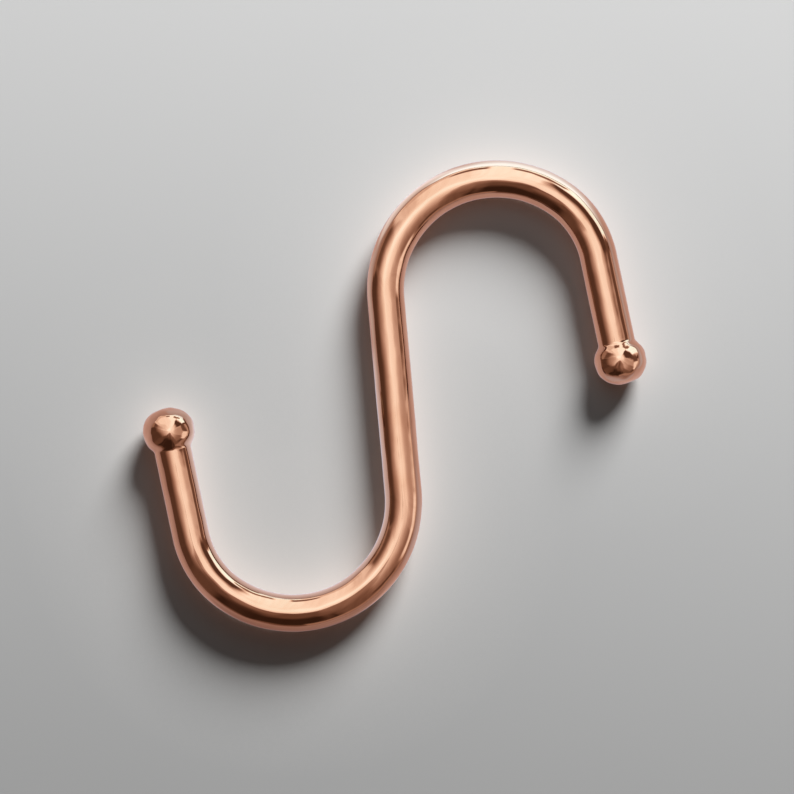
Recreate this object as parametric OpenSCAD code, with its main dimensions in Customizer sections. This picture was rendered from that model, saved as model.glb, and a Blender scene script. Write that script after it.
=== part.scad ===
// S hook bent from one length of round wire, with a rounded knob formed at each end.
// It lies flat on Z = 0 with the straight shank along Y and its centre of symmetry at X = Y = 0.
// The upper bow opens downwards on the +X side, and the lower bow is the same bow turned half a turn.

/* [Wire] */
// Diameter of the round wire
wire_d = 5.0; // [3:0.1:6]

/* [Shank] */
// Length of the straight shank between the two bows
shank_len = 25.7; // [12:0.1:60]

/* [Bows] */
// Radius of the main bend next to the shank, to the middle of the wire
bow_r = 14.8; // [9:0.1:30]
// Angle that the main bend turns through
bow_angle = 128.8; // [90:0.1:150]
// Radius of the tighter bend that runs out into the leg, to the middle of the wire
shoulder_r = 12.6; // [8:0.1:30]
// Angle that the tighter bend turns through
shoulder_angle = 44.4; // [15:0.1:60]

/* [Legs] */
// Distance along the leg from the end of the bend to the middle of the knob
leg_len = 14.2; // [8:0.1:40]

/* [Knobs] */
// Diameter of the knob across the leg
knob_d = 7.0; // [6.4:0.1:10]
// Length of the knob along the leg, a little less than its diameter
knob_len = 6.3; // [5:0.1:10]
// Radius of the small fillet where the knob meets the wire
neck_fillet = 0.3; // [0.1:0.05:0.8]

/* [Hidden] */
copper = [0.85, 0.50, 0.38];
$fn = 64;
wire_r = wire_d / 2;
knob_r = knob_d / 2;
// The knobs touch the surface and the wire runs level at the height of their middles
wire_z = knob_r;
// Each stretch of wire stops this far short of a joint, where a ball a hair larger than the wire joins two
joint_gap = 0.01;
joint_r = wire_r + 0.002;
// The knob's outline is an arc whose centre stands off its axis, with a flat of this radius on the end
knob_edge_r = min(knob_len, knob_d) / 2;
knob_flat_r = knob_r - knob_edge_r;
// Centre of the neck fillet, which touches the wire and the knob from outside, and where it meets the knob
fillet_x = wire_r + neck_fillet;
fillet_y = sqrt(pow(knob_edge_r + neck_fillet, 2) - pow(fillet_x - knob_flat_r, 2));
fillet_share = knob_edge_r / (knob_edge_r + neck_fillet);
touch_x = knob_flat_r + (fillet_x - knob_flat_r) * fillet_share;
touch_y = fillet_y * fillet_share;

// Ball that joins two stretches of wire
module joint() {
    sphere(r = joint_r);
}

// Straight wire from the origin along +Y, to a joint at its far end
module straight(length) {
    rotate([-90, 0, 0])
        translate([0, 0, joint_gap])
            cylinder(r = wire_r, h = length - 2 * joint_gap);
}

// Wire bent towards +X from the origin, where it heads along +Y, and what follows it at its far end
module bend(radius, angle) {
    gap_angle = joint_gap / radius * 180 / PI;
    translate([radius, 0, 0])
        rotate_extrude(start = 180 - angle + gap_angle, angle = angle - 2 * gap_angle)
            translate([radius, 0])
                circle(r = wire_r);
    translate([radius, 0, 0])
        rotate([0, 0, -angle])
            translate([-radius, 0, 0]) {
                joint();
                children();
            }
}

// Half outline of the knob and its neck, with the wire arriving from below
module knob_outline() {
    translate([knob_flat_r, 0])
        intersection() {
            circle(r = knob_edge_r);
            translate([0, -knob_edge_r])
                square([knob_edge_r, 2 * knob_edge_r]);
        }
    translate([0, -knob_edge_r])
        square([knob_flat_r, 2 * knob_edge_r]);
    difference() {
        polygon([[wire_r / 2, -fillet_y], [fillet_x, -fillet_y], [touch_x, -touch_y], [wire_r / 2, -touch_y]]);
        translate([fillet_x, -fillet_y])
            circle(r = neck_fillet);
    }
}

// Knob with its middle at the origin, on wire that arrives along +Y
module knob() {
    rotate([-90, 0, 0])
        rotate_extrude()
            knob_outline();
}

// Bow, leg and knob, from the end of the shank on
module bow() {
    joint();
    bend(bow_r, bow_angle)
        bend(shoulder_r, shoulder_angle) {
            straight(leg_len);
            translate([0, leg_len, 0])
                knob();
        }
}

module s_hook() {
    color(copper)
        translate([0, 0, wire_z]) {
            translate([0, -shank_len / 2, 0])
                straight(shank_len);
            for (turn = [0, 180])
                rotate([0, 0, turn])
                    translate([0, shank_len / 2, 0])
                        bow();
        }
}

s_hook();
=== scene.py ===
import math

import bpy
from mathutils import Matrix, Vector


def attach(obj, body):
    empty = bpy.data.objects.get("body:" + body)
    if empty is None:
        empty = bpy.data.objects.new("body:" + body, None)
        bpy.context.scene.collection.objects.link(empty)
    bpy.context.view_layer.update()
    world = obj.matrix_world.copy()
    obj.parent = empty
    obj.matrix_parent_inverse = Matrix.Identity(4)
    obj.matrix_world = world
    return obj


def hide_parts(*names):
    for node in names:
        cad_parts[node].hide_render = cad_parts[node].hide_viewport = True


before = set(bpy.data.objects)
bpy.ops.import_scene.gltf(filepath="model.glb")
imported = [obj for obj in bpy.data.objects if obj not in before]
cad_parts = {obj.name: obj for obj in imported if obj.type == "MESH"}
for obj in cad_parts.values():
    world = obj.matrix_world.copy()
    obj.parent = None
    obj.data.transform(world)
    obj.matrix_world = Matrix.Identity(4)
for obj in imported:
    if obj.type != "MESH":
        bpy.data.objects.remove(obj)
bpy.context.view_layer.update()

# The hook seen from straight above, with the shank leaning a little to the left in the picture
view = {
    "frameWidth": 0.10575,     # what the picture spans at the middle of the wire, in metres
    "lean": 5.14,              # degrees that the shank leans to the left
    "aim": (0.00030, -0.00016),
    "distance": 2.0,
    "sensor": 36.0,
}

hookSizes = {
    "wireRadius": 0.0025,
    "shankLength": 0.0257,
    "bowRadius": 0.0148,
    "bowAngle": 128.8,
    "shoulderRadius": 0.0126,
    "shoulderAngle": 44.4,
    "legLength": 0.0142,
    "knobRadius": 0.0035,
    "knobLength": 0.0063,
    "knobFullness": 2.2,       # 2 is an oval, and more is blunter
    "neckBlend": 0.0005,       # how far the neck rounds into the knob
    "ringSpacing": 0.00025,
    "knobStep": 4,             # degrees round the knob's side between two rings
    "knobTurn": 112,           # degrees round the knob's side that those rings cover
    "neckSpacing": 0.00005,
    "neckReach": 0.0003,       # how far past the knob the rings stay that close
    "corners": 72,
    "rippleHeight": 0.00013,   # long shallow waves left by drawing and bending the wire
    "rippleLength": 0.007,
    "rippleStretch": 3.0,      # how much longer they are than wide
    "knobRipple": 0.00028,     # the knobs are less even than the wire
    "knobRippleLength": 0.0017,
    "inward": 0.68,            # share of each wave's height that cuts into the metal
    "seed": 4.0,
}

copperLook = {
    "color": (0.93, 0.56, 0.38, 1.0),
    "deepColor": (0.88, 0.505, 0.33, 1.0),
    "toneScale": 160.0,
    "toneEdges": (0.42, 0.75),
    "roughness": (0.03, 0.075),
    "lineScale": (220.0, 5200.0, 5200.0),
    "lineStrength": 0.05,
    "lineDepth": 0.00002,
    "hazeScale": 420.0,
    "hazeEdges": (0.3, 0.7),
    "selfMirror": 0.3,         # how bright the hook is where it mirrors itself
    "roomNear": 1.3,           # radians by which the mirrored room shifts for each metre along the hook
}

floorLook = {
    "size": 1.6,
    "roughness": 0.8,
    "specular": 0.1,
    # painted light: the floor's colour runs from darker at the bottom to paler towards the lamp's side,
    # standing in for the lamp's falloff
    "shadedEndColor": (0.365, 0.366, 0.365, 1.0),
    "litEndColor": (0.667, 0.669, 0.667, 1.0),
    "litTowards": 84,        # degrees from the right of the picture towards its top
    "span": 0.085,             # how far from the middle the change runs
    "mirrored": 0.25,          # share of the floor's own colour that shows in the metal
    # light that the metal gets from the floor beside it, dimmer where it is seen at a flat angle
    "mirroredNear": (0.45, 0.345, 0.355, 1.0),
    "mirroredFar": (0.10, 0.03, 0.02, 1.0),
    "mirroredFade": 0.5,
    "areaEdges": (1.1, 0.6),   # where an area begins and is full, as squared shares of its reach
    # painted reflections: areas where the floor glows lighter or darker, seen only where the metal mirrors
    # it
    "paler": [
        {"middle": (-0.012, -0.012), "reach": (0.018, 0.020), "color": (0.60, 0.66, 0.83, 1.0)},
        {"middle": (0.030, -0.020), "reach": (0.026, 0.014), "color": (0.47, 0.48, 0.60, 1.0)},
        {"middle": (0.060, 0.018), "reach": (0.020, 0.026), "color": (0.52, 0.60, 0.76, 1.0)},
        {"middle": (-0.020, 0.014), "reach": (0.014, 0.017), "color": (0.48, 0.50, 0.60, 1.0)},
        {"middle": (-0.012, -0.040), "reach": (0.024, 0.012), "color": (0.27, 0.19, 0.19, 1.0)},
        {"middle": (-0.008, 0.040), "reach": (0.017, 0.017), "color": (0.90, 1.15, 1.45, 1.0)},
    ],
    # the lit surroundings that the metal mirrors above the picture's top
    "bright": {"middle": (0.028, 0.092), "reach": (0.054, 0.063), "color": (0.95, 1.5, 2.0, 1.0)},
    # added where the wire throws light back onto the floor
    "glowNear": (0.32, 0.295, 0.27, 1.0),
    "glowFar": (0.07, 0.068, 0.066, 1.0),
    "glowFrom": 55,            # degrees from the right of the picture towards its top
    "glowLift": 0.5,
    "glowReach": 0.02,
    "glowSamples": 16,
    "glowFull": 0.5,
    "glowSpread": 0.65,
}


def addNode(tree, kind, values=None, **options):
    made = tree.nodes.new(kind)
    for name, value in options.items():
        setattr(made, name, value)
    for name, value in (values or {}).items():
        if isinstance(value, bpy.types.NodeSocket):
            tree.links.new(value, made.inputs[name])
        else:
            made.inputs[name].default_value = value
    return made


def calc(tree, operation, *terms):
    return addNode(tree, "ShaderNodeMath", dict(enumerate(terms)), operation=operation).outputs[0]


def vectorCalc(tree, operation, *terms):
    return addNode(tree, "ShaderNodeVectorMath", dict(enumerate(terms)), operation=operation).outputs[0]


def dotOf(tree, first, second):
    node = addNode(tree, "ShaderNodeVectorMath", {0: first, 1: second}, operation="DOT_PRODUCT")
    return node.outputs["Value"]


def scaled(tree, vector, factor):
    node = addNode(tree, "ShaderNodeVectorMath", {0: vector, "Scale": factor}, operation="SCALE")
    return node.outputs[0]


def makeNoise(tree, place, scale, detail):
    return addNode(tree, "ShaderNodeTexNoise", {"Vector": place, "Scale": scale, "Detail": detail}).outputs


def smoothStep(tree, value, low, high):
    values = {"Value": value, "From Min": low, "From Max": high}
    return addNode(tree, "ShaderNodeMapRange", values, interpolation_type="SMOOTHSTEP").outputs["Result"]


def mixNumbers(tree, factor, first, second):
    return addNode(tree, "ShaderNodeMix", {0: factor, 2: first, 3: second}).outputs[0]


def mixColors(tree, factor, first, second):
    mix = addNode(tree, "ShaderNodeMix", {0: factor, 6: first, 7: second}, data_type="RGBA")
    return mix.outputs[2]


def photoAxes():
    # level directions to the right and to the top of the picture
    lean = math.radians(view["lean"])
    right = Vector((math.cos(lean), -math.sin(lean), 0))
    up = Vector((math.sin(lean), math.cos(lean), 0))
    return right, up


def photoWay(degrees):
    # level direction, counted from the right of the picture towards its top
    right, up = photoAxes()
    return right * math.cos(math.radians(degrees)) + up * math.sin(math.radians(degrees))


def makeCamera():
    data = bpy.data.cameras.new("camera")
    data.sensor_width = view["sensor"]
    data.lens = view["sensor"] * view["distance"] / view["frameWidth"]
    data.clip_start = 0.01
    camera = bpy.data.objects.new("camera", data)
    camera.location = (*view["aim"], hookSizes["knobRadius"] + view["distance"])
    camera.rotation_euler = (0, 0, -math.radians(view["lean"]))
    bpy.context.scene.collection.objects.link(camera)
    bpy.context.scene.camera = camera


def knobStations(sizes):
    # distances from the tip at which the knob and its neck get a ring, closest where they curve most
    half = sizes["knobLength"] / 2
    turns = range(0, sizes["knobTurn"] + 1, sizes["knobStep"])
    steps = [half * (1 - math.cos(math.radians(turn))) for turn in turns]
    neckEnd = sizes["knobLength"] + sizes["neckReach"]
    while steps[-1] < neckEnd:
        steps.append(steps[-1] + sizes["neckSpacing"])
    return steps


def halfPath(sizes):
    # middle line of the wire from the middle of the shank to the tip of the upper knob
    place, heading = Vector((0, 0)), 90.0
    points = []

    def goStraight(length, stations=None):
        nonlocal place
        way = Vector((math.cos(math.radians(heading)), math.sin(math.radians(heading))))
        if stations is None:
            count = max(1, round(length / sizes["ringSpacing"]))
            stations = [length * i / count for i in range(count)]
        points.extend(place + way * step for step in stations)
        place = place + way * length

    def goRound(radius, angle):
        nonlocal place, heading
        turn = math.radians(heading)
        centre = place + radius * Vector((math.sin(turn), -math.cos(turn)))
        count = round(radius * math.radians(angle) / sizes["ringSpacing"])
        spoke = place - centre
        for i in range(count):
            turned = spoke.copy()
            turned.rotate(fromAngle(-angle * i / count))
            points.append(centre + turned)
        spoke.rotate(fromAngle(-angle))
        place, heading = centre + spoke, heading - angle

    goStraight(sizes["shankLength"] / 2)
    goRound(sizes["bowRadius"], sizes["bowAngle"])
    goRound(sizes["shoulderRadius"], sizes["shoulderAngle"])
    knob = knobStations(sizes)
    goStraight(sizes["legLength"] + sizes["knobLength"] / 2 - knob[-1])
    goStraight(knob[-1], [knob[-1] - step for step in reversed(knob)])
    return points


def fromAngle(degrees):
    return Matrix.Rotation(math.radians(degrees), 2)


def makePath(sizes):
    upper = halfPath(sizes)
    lower = [-point for point in reversed(upper[1:])]
    height = sizes["knobRadius"]
    points = [(x, y, height) for x, y in lower + upper]
    mesh = bpy.data.meshes.new("hookPath")
    mesh.from_pydata(points, [(i, i + 1) for i in range(len(points) - 1)], [])
    path = bpy.data.objects.new("hookPath", mesh)
    bpy.context.scene.collection.objects.link(path)
    print("path points:", len(points))
    return path


def wireTree(material):
    tree = bpy.data.node_groups.new("knobbedWire", "GeometryNodeTree")
    face = tree.interface
    face.new_socket("Geometry", in_out="INPUT", socket_type="NodeSocketGeometry")
    sizeNames = ("Wire Radius", "Knob Radius", "Knob Length", "Knob Fullness", "Neck Blend",
                 "Ripple Height", "Ripple Length", "Ripple Stretch",
                 "Knob Ripple", "Knob Ripple Length", "Inward", "Seed")
    for name in sizeNames:
        face.new_socket(name, in_out="INPUT", socket_type="NodeSocketFloat")
    face.new_socket("Corners", in_out="INPUT", socket_type="NodeSocketInt")
    face.new_socket("Geometry", in_out="OUTPUT", socket_type="NodeSocketGeometry")
    given = tree.nodes.new("NodeGroupInput").outputs

    curve = addNode(tree, "GeometryNodeMeshToCurve", {"Mesh": given["Geometry"]}).outputs[0]
    along = addNode(tree, "GeometryNodeSplineParameter").outputs["Length"]
    whole = addNode(tree, "GeometryNodeSplineLength").outputs["Length"]
    fromTip = calc(tree, "MINIMUM", along, calc(tree, "SUBTRACT", whole, along))

    # knob: an oval about the wire's axis, run into the wire by a smooth maximum behind its widest ring
    half = calc(tree, "MULTIPLY", given["Knob Length"], 0.5)
    offset = calc(tree, "DIVIDE", calc(tree, "SUBTRACT", fromTip, half), half)
    power = given["Knob Fullness"]
    rounding = calc(tree, "POWER", calc(tree, "ABSOLUTE", offset), power)
    inside = calc(tree, "MAXIMUM", calc(tree, "SUBTRACT", 1.0, rounding), 0.0)
    share = calc(tree, "POWER", inside, calc(tree, "DIVIDE", 1.0, power))
    knob = calc(tree, "MULTIPLY", given["Knob Radius"], share)
    necked = calc(tree, "SMOOTH_MAX", knob, given["Wire Radius"], given["Neck Blend"])
    behind = calc(tree, "GREATER_THAN", fromTip, half)
    radius = addNode(tree, "GeometryNodeSwitch", {"Switch": behind, "False": knob, "True": necked},
                     input_type="FLOAT").outputs[0]
    radius = calc(tree, "MAXIMUM", radius, 1e-7)
    # the dents fade out from the middle of the knob to just past its neck
    dentEnd = calc(tree, "MULTIPLY", half, 2.2)
    onKnob = calc(tree, "SUBTRACT", 1.0, smoothStep(tree, fromTip, half, dentEnd))

    keep = addNode(tree, "GeometryNodeCaptureAttribute", {"Geometry": curve}, domain="POINT")
    for slot, value in enumerate((along, onKnob, radius), start=1):
        keep.capture_items.new("FLOAT", "Value")
        tree.links.new(value, keep.inputs[slot])
    keptAlong, keptKnob, keptRadius = keep.outputs[1], keep.outputs[2], keep.outputs[3]

    ring = addNode(tree, "GeometryNodeCurvePrimitiveCircle",
                   {"Resolution": given["Corners"], "Radius": 1.0}, mode="RADIUS").outputs[0]
    ringKeep = addNode(tree, "GeometryNodeCaptureAttribute", {"Geometry": ring}, domain="POINT")
    ringKeep.capture_items.new("VECTOR", "Value")
    tree.links.new(addNode(tree, "GeometryNodeInputPosition").outputs[0], ringKeep.inputs[1])
    swept = addNode(tree, "GeometryNodeCurveToMesh",
                    {"Curve": keep.outputs[0], "Profile Curve": ringKeep.outputs[0], "Scale": keptRadius,
                     "Fill Caps": False}).outputs[0]

    # coordinates that follow the wire: along it, and round its section
    spoke = addNode(tree, "ShaderNodeSeparateXYZ", {0: ringKeep.outputs[1]}).outputs
    sectionX = calc(tree, "MULTIPLY", spoke[0], keptRadius)
    sectionY = calc(tree, "MULTIPLY", spoke[1], keptRadius)
    parts = {0: keptAlong, 1: sectionX, 2: sectionY}
    wireCoords = addNode(tree, "ShaderNodeCombineXYZ", parts).outputs[0]
    stored = addNode(tree, "GeometryNodeStoreNamedAttribute",
                     {"Geometry": swept, "Name": "wireCoords", "Value": wireCoords},
                     data_type="FLOAT_VECTOR", domain="POINT").outputs[0]
    welded = addNode(tree, "GeometryNodeMergeByDistance",
                     {"Geometry": stored, "Distance": 1e-6}).outputs[0]

    # long waves along the wire and closer ones on the knobs
    def makeWaves(place, length, height, detail):
        noise = addNode(tree, "ShaderNodeTexNoise",
                        {"Vector": place, "W": given["Seed"], "Detail": detail,
                         "Scale": calc(tree, "DIVIDE", 1.0, length)}, noise_dimensions="4D").outputs[0]
        return calc(tree, "MULTIPLY", calc(tree, "SUBTRACT", noise, given["Inward"]), height)

    here = addNode(tree, "GeometryNodeInputNamedAttribute",
                   {"Name": "wireCoords"}, data_type="FLOAT_VECTOR").outputs[0]
    across = addNode(tree, "ShaderNodeCombineXYZ",
                     {0: 1.0, 1: given["Ripple Stretch"], 2: given["Ripple Stretch"]}).outputs[0]
    onWire = vectorCalc(tree, "MULTIPLY", here, across)
    inPlace = addNode(tree, "GeometryNodeInputPosition").outputs[0]
    waves = makeWaves(onWire, given["Ripple Length"], given["Ripple Height"], 2.0)
    dents = makeWaves(inPlace, given["Knob Ripple Length"], given["Knob Ripple"], 0.8)
    rise = calc(tree, "ADD", waves, calc(tree, "MULTIPLY", dents, keptKnob))
    move = scaled(tree, addNode(tree, "GeometryNodeInputNormal").outputs[0], rise)
    rippled = addNode(tree, "GeometryNodeSetPosition", {"Geometry": welded, "Offset": move}).outputs[0]

    smooth = addNode(tree, "GeometryNodeSetShadeSmooth", {"Geometry": rippled}).outputs[0]
    real = addNode(tree, "GeometryNodeRealizeInstances", {"Geometry": smooth}).outputs[0]
    coated = addNode(tree, "GeometryNodeSetMaterial",
                     {"Geometry": real, "Material": material}).outputs[0]
    result = tree.nodes.new("NodeGroupOutput")
    tree.links.new(coated, result.inputs[0])
    return tree


def makeHook(sizes, material):
    path = makePath(sizes)
    tree = wireTree(material)
    modifier = path.modifiers.new("knobbedWire", "NODES")
    modifier.node_group = tree
    inputs = {
        "Wire Radius": sizes["wireRadius"],
        "Knob Radius": sizes["knobRadius"],
        "Knob Length": sizes["knobLength"],
        "Knob Fullness": sizes["knobFullness"],
        "Neck Blend": sizes["neckBlend"],
        "Ripple Height": sizes["rippleHeight"],
        "Ripple Length": sizes["rippleLength"],
        "Ripple Stretch": sizes["rippleStretch"],
        "Knob Ripple": sizes["knobRipple"],
        "Knob Ripple Length": sizes["knobRippleLength"],
        "Inward": sizes["inward"],
        "Seed": sizes["seed"],
        "Corners": sizes["corners"],
    }
    for item in tree.interface.items_tree:
        if item.in_out == "INPUT" and item.name in inputs:
            modifier[item.identifier] = inputs[item.name]
    bpy.context.view_layer.update()
    graph = bpy.context.evaluated_depsgraph_get()
    mesh = bpy.data.meshes.new_from_object(path.evaluated_get(graph))
    path.modifiers.clear()
    bpy.data.objects.remove(path)
    mesh.name = "hook"
    hook = bpy.data.objects.new("hook", mesh)
    bpy.context.scene.collection.objects.link(hook)
    print("hook faces:", len(mesh.polygons))
    return hook


def copperMaterial(look):
    material = bpy.data.materials.new("polishedCopper")
    material.use_nodes = True
    tree = material.node_tree
    surface = tree.nodes["Principled BSDF"]
    surface.inputs["Metallic"].default_value = 1.0
    along = addNode(tree, "ShaderNodeAttribute", attribute_name="wireCoords").outputs["Vector"]

    # plating: broad, faint changes of tone
    tone = smoothStep(tree, makeNoise(tree, along, look["toneScale"], 3.0)[0], *look["toneEdges"])
    color = mixColors(tree, tone, look["color"], look["deepColor"])
    # the wire is dimmer where it mirrors itself
    mirrored = addNode(tree, "ShaderNodeLightPath").outputs["Is Glossy Ray"]
    seen = mixNumbers(tree, mirrored, 1.0, look["selfMirror"])
    tree.links.new(scaled(tree, color, seen), surface.inputs["Base Color"])

    # polishing lines that run along the wire
    stretch = addNode(tree, "ShaderNodeMapping", {"Vector": along, "Scale": look["lineScale"]}).outputs[0]
    lines = makeNoise(tree, stretch, 1.0, 3.0)[0]
    haze = makeNoise(tree, along, look["hazeScale"], 2.0)[0]
    mixed = calc(tree, "ADD", calc(tree, "MULTIPLY", lines, 0.5), calc(tree, "MULTIPLY", haze, 0.5))
    names = ("From Min", "From Max", "To Min", "To Max")
    values = dict(zip(names, look["hazeEdges"] + look["roughness"]))
    rough = addNode(tree, "ShaderNodeMapRange", {"Value": mixed, **values}).outputs[0]
    tree.links.new(rough, surface.inputs["Roughness"])

    # the room is close by, so each part of the hook mirrors it from a slightly different place
    place = addNode(tree, "ShaderNodeTexCoord").outputs
    near = (look["roomNear"], look["roomNear"], 0)
    shifted = vectorCalc(tree, "ADD", place["Normal"], vectorCalc(tree, "MULTIPLY", place["Object"], near))
    bump = addNode(tree, "ShaderNodeBump",
                   {"Height": lines, "Strength": look["lineStrength"], "Distance": look["lineDepth"],
                    "Normal": vectorCalc(tree, "NORMALIZE", shifted)}).outputs[0]
    tree.links.new(bump, surface.inputs["Normal"])
    return material


def makeFloor(look):
    half = look["size"] / 2
    mesh = bpy.data.meshes.new("floor")
    corners = [(-half, -half, 0), (half, -half, 0), (half, half, 0), (-half, half, 0)]
    mesh.from_pydata(corners, [], [(0, 1, 2, 3)])
    floor = bpy.data.objects.new("floor", mesh)
    bpy.context.scene.collection.objects.link(floor)
    material = bpy.data.materials.new("paleFloor")
    material.use_nodes = True
    tree = material.node_tree
    surface = tree.nodes["Principled BSDF"]
    surface.inputs["Roughness"].default_value = look["roughness"]
    surface.inputs["Specular IOR Level"].default_value = look["specular"]
    place = addNode(tree, "ShaderNodeTexCoord").outputs["Object"]

    def alongWay(degrees):
        return dotOf(tree, place, photoWay(degrees))

    # painted light: the floor is coloured darker away from the lamp and paler towards it, standing in for
    # the lamp's falloff
    share = smoothStep(tree, alongWay(look["litTowards"]), -look["span"], look["span"])
    floorWithPaintedLight = mixColors(tree, share, look["shadedEndColor"], look["litEndColor"])

    # light that the polished wire throws back onto the floor on the side that faces the lamp
    side = (Vector((0, 0, look["glowLift"])) - photoWay(look["glowFrom"])).normalized()
    hidden = addNode(tree, "ShaderNodeAmbientOcclusion", {"Distance": look["glowReach"], "Normal": side},
                     samples=look["glowSamples"]).outputs["AO"]
    near = addNode(tree, "ShaderNodeMapRange",
                   {"Value": hidden, "From Min": 1.0, "From Max": look["glowFull"]}).outputs[0]
    spread = calc(tree, "POWER", near, look["glowSpread"])
    glow = scaled(tree, mixColors(tree, share, look["glowNear"], look["glowFar"]), spread)
    lit = vectorCalc(tree, "ADD", floorWithPaintedLight, glow)

    # in the metal the floor shows paler shadows, and lit surroundings beyond the top of the picture
    mirrored = addNode(tree, "ShaderNodeLightPath").outputs["Is Glossy Ray"]
    kept = mixNumbers(tree, mirrored, 1.0, look["mirrored"])
    tree.links.new(scaled(tree, lit, kept), surface.inputs["Base Color"])
    level, upright = alongWay(0), alongWay(90)

    def within(area):
        apart = []
        for along, middle, reach in zip((level, upright), area["middle"], area["reach"]):
            offset = calc(tree, "DIVIDE", calc(tree, "SUBTRACT", along, middle), reach)
            apart.append(calc(tree, "MULTIPLY", offset, offset))
        return smoothStep(tree, calc(tree, "ADD", *apart), *look["areaEdges"])

    shine = look["mirroredNear"]
    for area in look["paler"]:
        shine = mixColors(tree, within(area), shine, area["color"])
    flat = addNode(tree, "ShaderNodeLayerWeight").outputs["Facing"]
    close = calc(tree, "POWER", calc(tree, "SUBTRACT", 1.0, flat), look["mirroredFade"])
    shine = mixColors(tree, close, look["mirroredFar"], shine)
    shine = mixColors(tree, within(look["bright"]), shine, look["bright"]["color"])
    tree.links.new(shine, surface.inputs["Emission Color"])
    tree.links.new(mirrored, surface.inputs["Emission Strength"])
    mesh.materials.append(material)


# The room as the round metal mirrors it, laid out round the spot on the metal that faces straight up.
# Directions are in degrees from the right of the picture towards its top, and half is half a width.
# Distances run outwards from that spot, and 0.71 is the horizon. Light of 1 is white.
room = {
    "zenith": 1.12,
    "darkTint": (1.0, 0.48, 0.3, 1.0),
    "brightTint": (0.59, 0.94, 1.09, 1.0),
    "brightest": 1.8,
    "floorShare": 0.12,                  # how much of the room's light falls on the floor
    "plainMiddle": (0.05, 0.02),         # where the fans end and where the middle is plain
    "unevenness": 0.08,
    "unevenScale": 6.0,
    "streaks": 0.42,
    "streakScale": 18.0,
    "streaksFull": 0.2,
    "darkFade": 0.8,
    "fans": [
        {"toward": 140, "half": 16, "soft": 0.04, "near": 1.1, "far": 0.87, "from": 0.15, "to": 0.4},
        {"toward": 112, "half": 16, "soft": 0.04, "near": 1.15, "far": 1.08, "from": 0.15, "to": 0.4},
        {"toward": 81, "half": 17, "soft": 0.04, "near": 1.3, "far": 1.43, "from": 0.0, "to": 0.4},
        {"toward": 156, "half": 13, "soft": 0.04, "near": 1.1, "far": 0.14, "from": 0.12, "to": 0.52},
        {"toward": 182, "half": 15, "soft": 0.03, "near": 1.08, "far": 0.085, "from": -0.02, "to": 0.56},
        {"toward": 206, "half": 16, "soft": 0.03, "near": 1.05, "far": 0.09, "from": 0.0, "to": 0.5},
        {"toward": 38, "half": 25, "soft": 0.03, "near": 1.14, "far": 0.09, "from": 0.17, "to": 0.36},
        {"toward": -2, "half": 16, "soft": 0.04, "near": 1.12, "far": 0.5, "from": 0.0, "to": 0.42},
        {"toward": -36, "half": 21, "soft": 0.03, "near": 0.97, "far": 0.26, "from": -0.06, "to": 0.5},
        {"toward": -62, "half": 10, "soft": 0.03, "near": 0.18, "far": 0.16, "from": 0.3, "to": 0.6},
        {"toward": -106, "half": 37, "soft": 0.03, "near": 0.14, "far": 0.035, "from": 0.24, "to": 0.44},
        {"toward": -140, "half": 9, "soft": 0.04, "near": 0.6, "far": 0.12, "from": 0.03, "to": 0.17},
        {"toward": -118, "half": 4, "soft": 0.06, "near": 0.4, "far": 0.05, "from": 0.1, "to": 0.32},
        {"toward": -76, "half": 2, "soft": 0.06, "near": 0.25, "far": 0.1, "from": 0.2, "to": 0.6},
    ],
    "patches": [
        {"toward": 115, "half": 45, "inner": 0.05, "outer": 0.17, "soft": 0.04, "light": 1.45},
        {"toward": 62, "half": 35, "inner": 0.68, "outer": 0.9, "soft": 0.02, "light": 1.75},
        {"toward": 42, "half": 20, "flat": 47, "inner": 0.525, "outer": 0.9, "soft": 0.03, "light": 1.75},
        {"toward": 100, "half": 9, "inner": 0.59, "outer": 0.67, "soft": 0.02, "light": 0.2},
        {"toward": 68, "half": 13, "inner": 0.585, "outer": 0.665, "soft": 0.02, "light": 0.25},
        {"toward": 122, "half": 14, "inner": 0.62, "outer": 0.9, "soft": 0.03, "light": 0.75},
        {"toward": 157, "half": 14, "inner": 0.62, "outer": 0.9, "soft": 0.03, "light": 0.32},
        {"toward": 14, "half": 8, "inner": 0.52, "outer": 0.66, "soft": 0.03, "light": 0.14},
        {"toward": -12, "half": 16, "inner": 0.53, "outer": 0.66, "soft": 0.03, "light": 0.95},
        {"toward": -42, "half": 9, "inner": 0.54, "outer": 0.63, "soft": 0.04, "light": 0.1},
        {"toward": -58, "half": 28, "inner": 0.64, "outer": 0.9, "soft": 0.02, "light": 0.34},
        {"toward": -115, "half": 30, "inner": 0.67, "outer": 0.9, "soft": 0.02, "light": 0.15},
    ],
}


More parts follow.
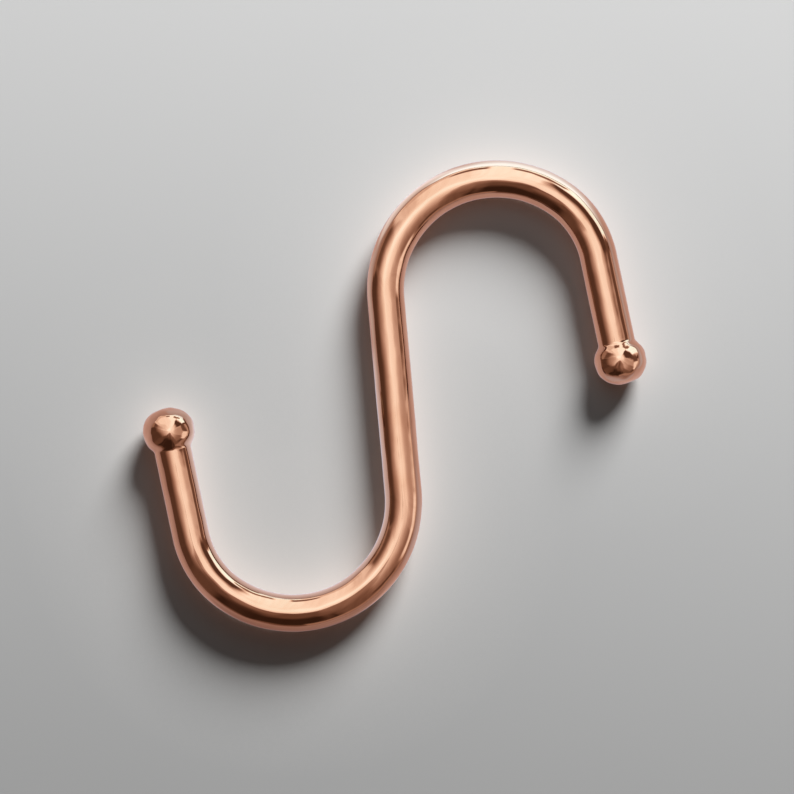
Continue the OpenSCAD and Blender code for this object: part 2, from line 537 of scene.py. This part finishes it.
def makeWorld():
    world = bpy.data.worlds.new("studio")
    bpy.context.scene.world = world
    world.use_nodes = True
    tree = world.node_tree
    tree.nodes.clear()
    right, up = photoAxes()
    ray = addNode(tree, "ShaderNodeTexCoord").outputs["Generated"]
    # halfway between the ray and straight up is the way that the metal faces where it mirrors the ray
    facing = vectorCalc(tree, "NORMALIZE", vectorCalc(tree, "ADD", ray, (0, 0, 1)))
    sides = {0: dotOf(tree, facing, right), 1: dotOf(tree, facing, up)}
    even = addNode(tree, "ShaderNodeCombineXYZ", sides).outputs[0]
    swirl = makeNoise(tree, even, room["unevenScale"], 2.0)["Color"]
    centred = vectorCalc(tree, "SUBTRACT", swirl, (0.5, 0.5, 0.5))
    amount = (room["unevenness"], room["unevenness"], 0)
    spot = vectorCalc(tree, "MULTIPLY_ADD", centred, amount, even)
    outward = addNode(tree, "ShaderNodeVectorMath", {0: spot}, operation="LENGTH").outputs["Value"]

    def towards(degrees):
        turn = math.radians(degrees)
        return (math.cos(turn), math.sin(turn), 0)

    def nearWay(part):
        # how far the spot lies inside the two straight edges that run out from the middle
        half = math.radians(part["half"])
        level = dotOf(tree, spot, towards(part["toward"]))
        beyond = calc(tree, "SUBTRACT", level, calc(tree, "MULTIPLY", outward, math.cos(half)))
        edge = part["soft"] * math.sin(half)
        return smoothStep(tree, beyond, -edge, edge)

    light = room["zenith"]
    for fan in room["fans"]:
        share = smoothStep(tree, outward, fan["from"], fan["to"])
        own = mixNumbers(tree, share, fan["near"], fan["far"])
        light = mixNumbers(tree, nearWay(fan), light, own)
    for patch in room["patches"]:
        # "flat" gives a patch a straight inner and outer edge
        reach = dotOf(tree, spot, towards(patch["flat"])) if "flat" in patch else outward
        soft = patch["soft"]
        begin = smoothStep(tree, reach, patch["inner"] - soft, patch["inner"] + soft)
        finish = smoothStep(tree, reach, patch["outer"] + soft, patch["outer"] - soft)
        mask = calc(tree, "MULTIPLY", calc(tree, "MULTIPLY", begin, finish), nearWay(patch))
        light = mixNumbers(tree, mask, light, patch["light"])
    middle = smoothStep(tree, outward, *room["plainMiddle"])
    light = mixNumbers(tree, middle, light, room["zenith"])

    # streaks that run out from the middle
    grain = makeNoise(tree, vectorCalc(tree, "NORMALIZE", even), room["streakScale"], 3.0)[0]
    change = calc(tree, "MULTIPLY", calc(tree, "SUBTRACT", grain, 0.5), room["streaks"])
    change = calc(tree, "MULTIPLY", change, smoothStep(tree, outward, 0.0, room["streaksFull"]))
    light = calc(tree, "MULTIPLY", light, calc(tree, "ADD", change, 1.0))

    # dark parts are warm, and the brightest are cool enough to look white in copper
    pale = calc(tree, "POWER", calc(tree, "MINIMUM", light, 1.0), room["darkFade"])
    bright = addNode(tree, "ShaderNodeMapRange",
                     {"Value": light, "From Min": 1.0, "From Max": room["brightest"]}).outputs[0]
    tint = mixColors(tree, pale, room["darkTint"], (1, 1, 1, 1))
    tint = mixColors(tree, bright, tint, room["brightTint"])
    mirrored = addNode(tree, "ShaderNodeLightPath").outputs["Is Glossy Ray"]
    seen = mixNumbers(tree, mirrored, room["floorShare"], 1.0)
    background = addNode(tree, "ShaderNodeBackground",
                         {"Color": tint, "Strength": calc(tree, "MULTIPLY", light, seen)})
    result = addNode(tree, "ShaderNodeOutputWorld")
    tree.links.new(background.outputs[0], result.inputs[0])


lamps = {
    "keyLight": {"from": 65, "lift": 30, "distance": 1.8, "size": 0.9, "watts": 59.4},
    "fillLight": {"from": 80, "lift": 62, "distance": 0.14, "size": 0.08, "watts": 0.006},
}


def makeLamp(name, sizes):
    lift = math.radians(sizes["lift"])
    way = photoWay(sizes["from"]) * math.cos(lift) + Vector((0, 0, math.sin(lift)))
    place = way * sizes["distance"]
    data = bpy.data.lights.new(name, "AREA")
    data.shape = "DISK"
    data.size = sizes["size"]
    data.energy = sizes["watts"]
    lamp = bpy.data.objects.new(name, data)
    lamp.location = place
    lamp.rotation_euler = (-place).to_track_quat("-Z", "Y").to_euler()
    lamp.visible_glossy = False    # the metal mirrors the room instead
    bpy.context.scene.collection.objects.link(lamp)


makeCamera()
print("camera ready")
makeFloor(floorLook)
makeWorld()
for lampName, lampSizes in lamps.items():
    makeLamp(lampName, lampSizes)
print("light ready")

copper = copperMaterial(copperLook)
hook = makeHook(hookSizes, copper)
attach(hook, "root")
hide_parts("s_hook")
print("hook ready")

bpy.context.scene.view_settings.view_transform = "Standard"
